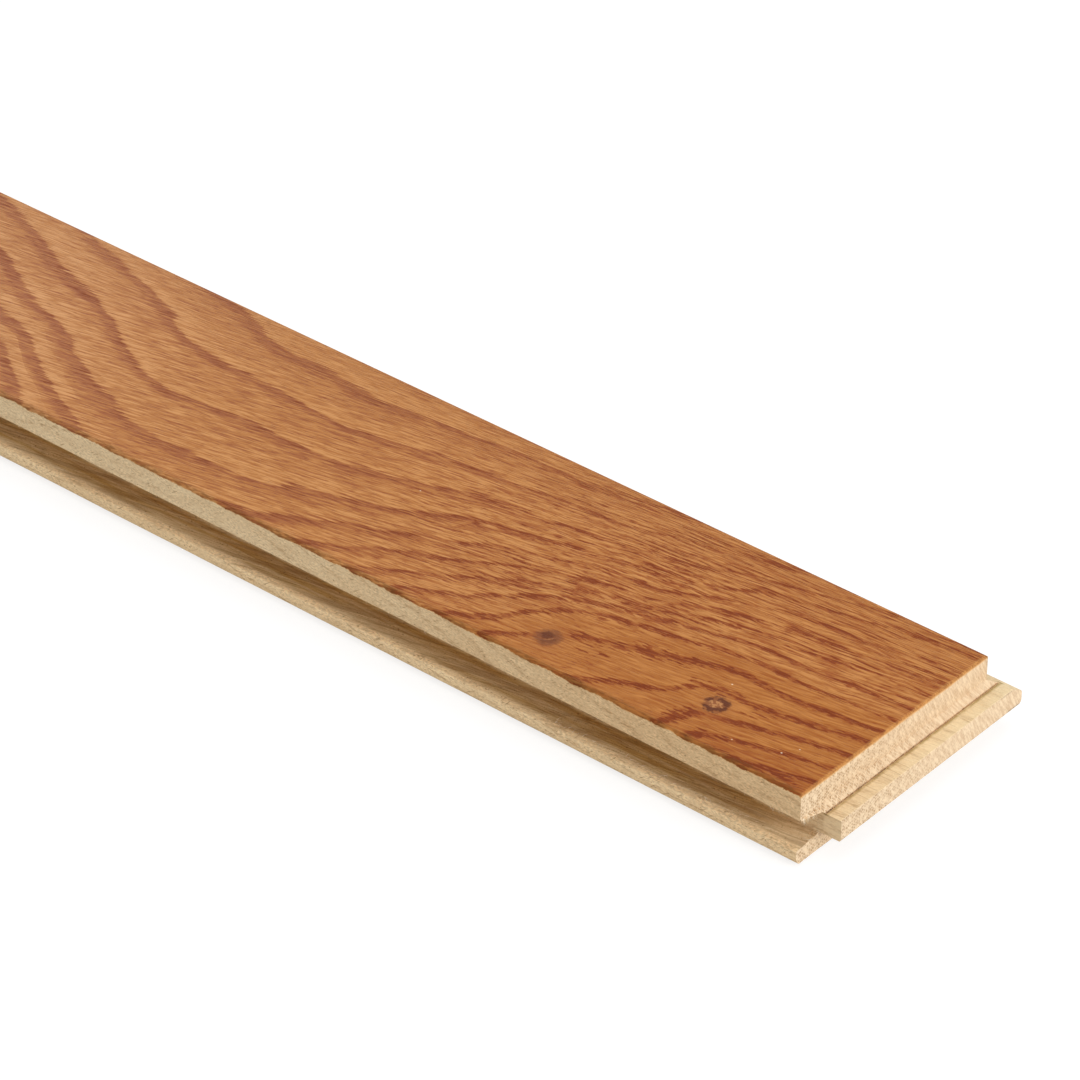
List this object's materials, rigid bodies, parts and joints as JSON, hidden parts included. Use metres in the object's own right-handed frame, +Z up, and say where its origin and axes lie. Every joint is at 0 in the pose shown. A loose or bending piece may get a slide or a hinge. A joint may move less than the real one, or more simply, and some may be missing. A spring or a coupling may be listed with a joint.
{
  "type": "hardwood floorboard",
  "caption": "Solid oak strip floorboard, stained and lacquered on its face, with a nailing tongue and a groove on its sides and matching tongue and groove on its ends.",
  "frame": {"origin": "on the underside, under the middle of the overall box", "axes": "+X along the board to the end with the tongue, +Y across it to the side with the tongue, +Z up to the wearing face"},
  "size_m": [0.606, 0.0772, 0.02],
  "materials": {
    "oak": "stained and satin lacquered face, raw milled edges"
  },
  "bodies": {
    "root": {"floorboard": "oak"}
  },
  "joints": []
}
